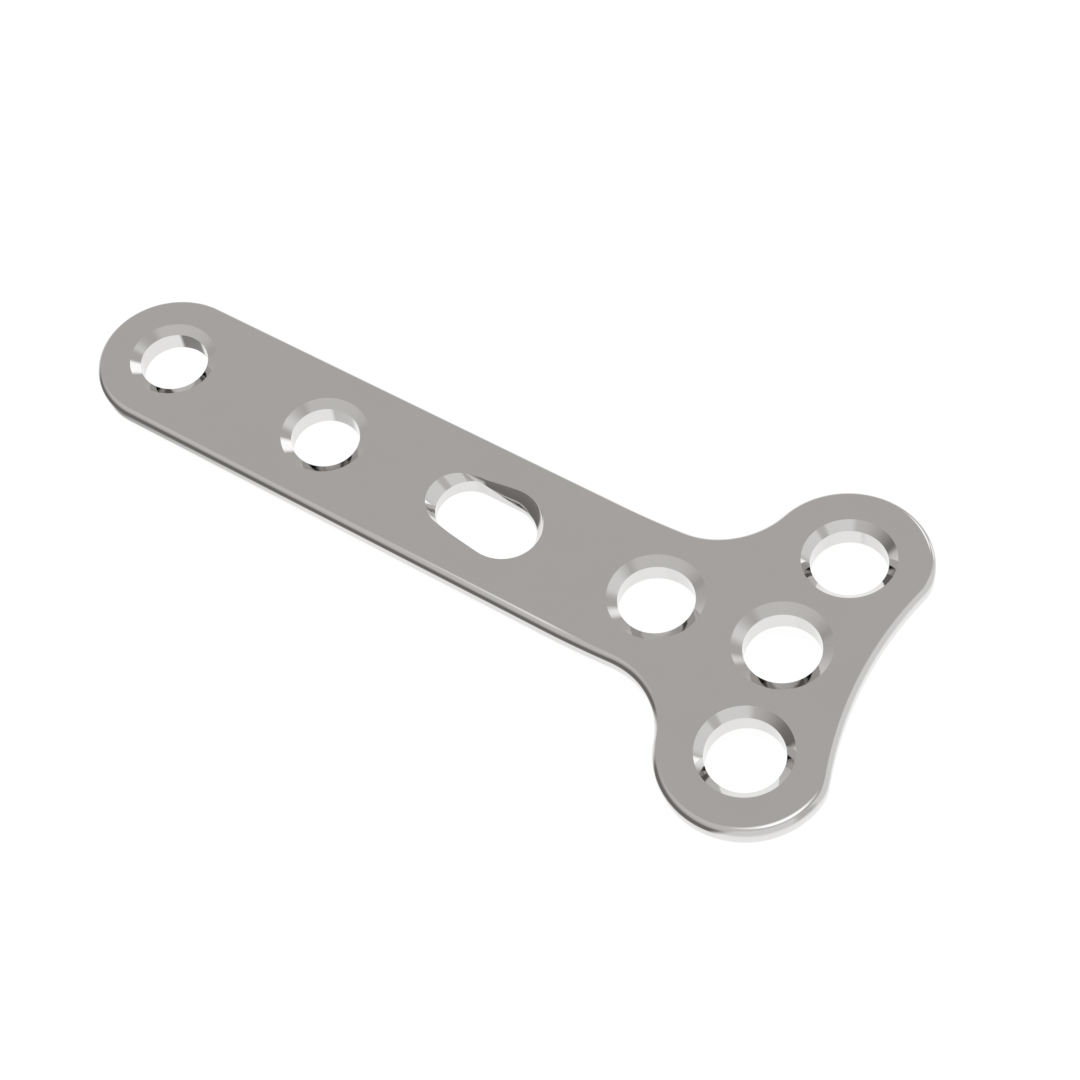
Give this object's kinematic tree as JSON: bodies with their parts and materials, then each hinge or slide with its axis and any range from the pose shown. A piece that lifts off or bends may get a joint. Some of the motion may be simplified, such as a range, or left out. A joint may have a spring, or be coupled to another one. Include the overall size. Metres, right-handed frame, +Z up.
{
  "type": "orthopedic bone plate",
  "caption": "T-shaped metal bone plate with countersunk screw holes, an oblong compression hole in the shaft and a bent head.",
  "frame": {"origin": "under the middle of the plate's bounding box, on the plane of the shaft's flat underside", "axes": "+X along the shaft towards the head, +Y across the plate, +Z up out of the countersunk face"},
  "size_m": [0.0552, 0.024, 0.005],
  "materials": {
    "bone_plate": "satin polished surgical steel"
  },
  "bodies": {
    "root": {"bone_plate": "bone_plate"}
  },
  "joints": []
}
